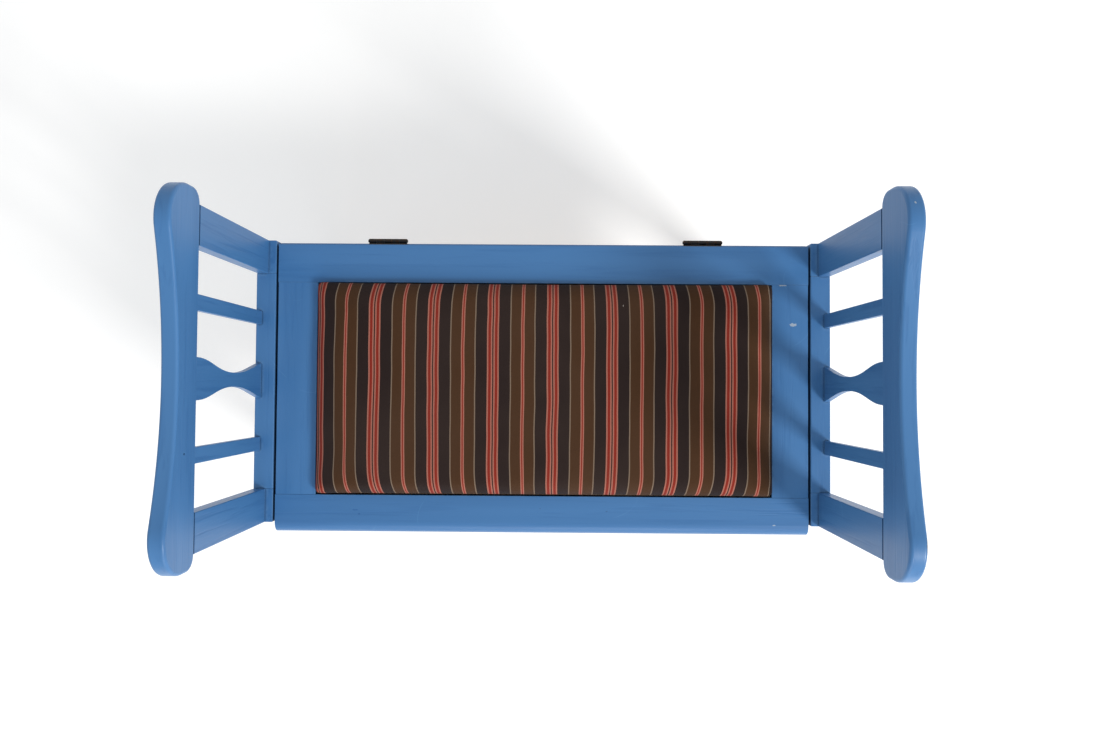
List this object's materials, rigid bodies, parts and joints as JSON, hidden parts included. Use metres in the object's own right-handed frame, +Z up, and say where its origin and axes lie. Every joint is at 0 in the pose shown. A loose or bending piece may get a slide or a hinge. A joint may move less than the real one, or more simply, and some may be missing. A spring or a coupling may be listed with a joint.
{
  "type": "hall storage bench",
  "caption": "Low wooden bench with two open arms, a hinged frame lid over a storage box and a striped drop-in seat pad.",
  "frame": {"origin": "on the floor, at the middle of the bench's plan", "axes": "+X along the seat to the right, +Y to the hinged back, +Z up"},
  "size_m": [0.762, 0.404, 0.734],
  "materials": {
    "painted_wood": "satin blue paint over wood, worn",
    "bare_wood": "unfinished, dusty",
    "hinge_iron": "dark, oiled",
    "screw_steel": "dull steel",
    "striped_fabric": "woven stripe, brown, red and pink"
  },
  "bodies": {
    "frame": {"leg_front_right": "painted_wood", "leg_front_left": "painted_wood", "leg_back_right": "painted_wood", "leg_back_left": "painted_wood", "crest_rail_right": "painted_wood", "crest_rail_left": "painted_wood", "splat_right": "painted_wood", "splat_left": "painted_wood", "slat_front_right": "painted_wood", "slat_front_left": "painted_wood", "slat_back_right": "painted_wood", "slat_back_left": "painted_wood", "end_rail_right": "painted_wood", "end_rail_left": "painted_wood", "front_board": "painted_wood", "back_board": "painted_wood", "cleat_front": "bare_wood", "cleat_back": "bare_wood", "cleat_left": "bare_wood", "cleat_right": "bare_wood", "floor_plank_1": "bare_wood", "floor_plank_2": "bare_wood", "floor_plank_3": "bare_wood", "hinge_leaf_fixed_left": "hinge_iron", "hinge_leaf_fixed_right": "hinge_iron", "hinge_pin_left": "hinge_iron", "hinge_pin_right": "hinge_iron", "cleat_screws": "screw_steel", "hinge_screws_fixed": "screw_steel"},
    "lid": {"lid_rail_front": "painted_wood", "lid_rail_back": "painted_wood", "lid_stile_left": "painted_wood", "lid_stile_right": "painted_wood", "hinge_leaf_lid_left": "hinge_iron", "hinge_leaf_lid_right": "hinge_iron", "hinge_screws_lid": "screw_steel", "lid_dowels": "bare_wood", "pad_board": "bare_wood", "seat_pad": "striped_fabric"}
  },
  "joints": [
    {"name": "lid_hinge", "type": "hinge", "parent": "frame", "child": "lid", "pos_m": [0, 0.1893, 0.43], "axis": [-1, 0, 0], "range_deg": [0, 105]}
  ]
}
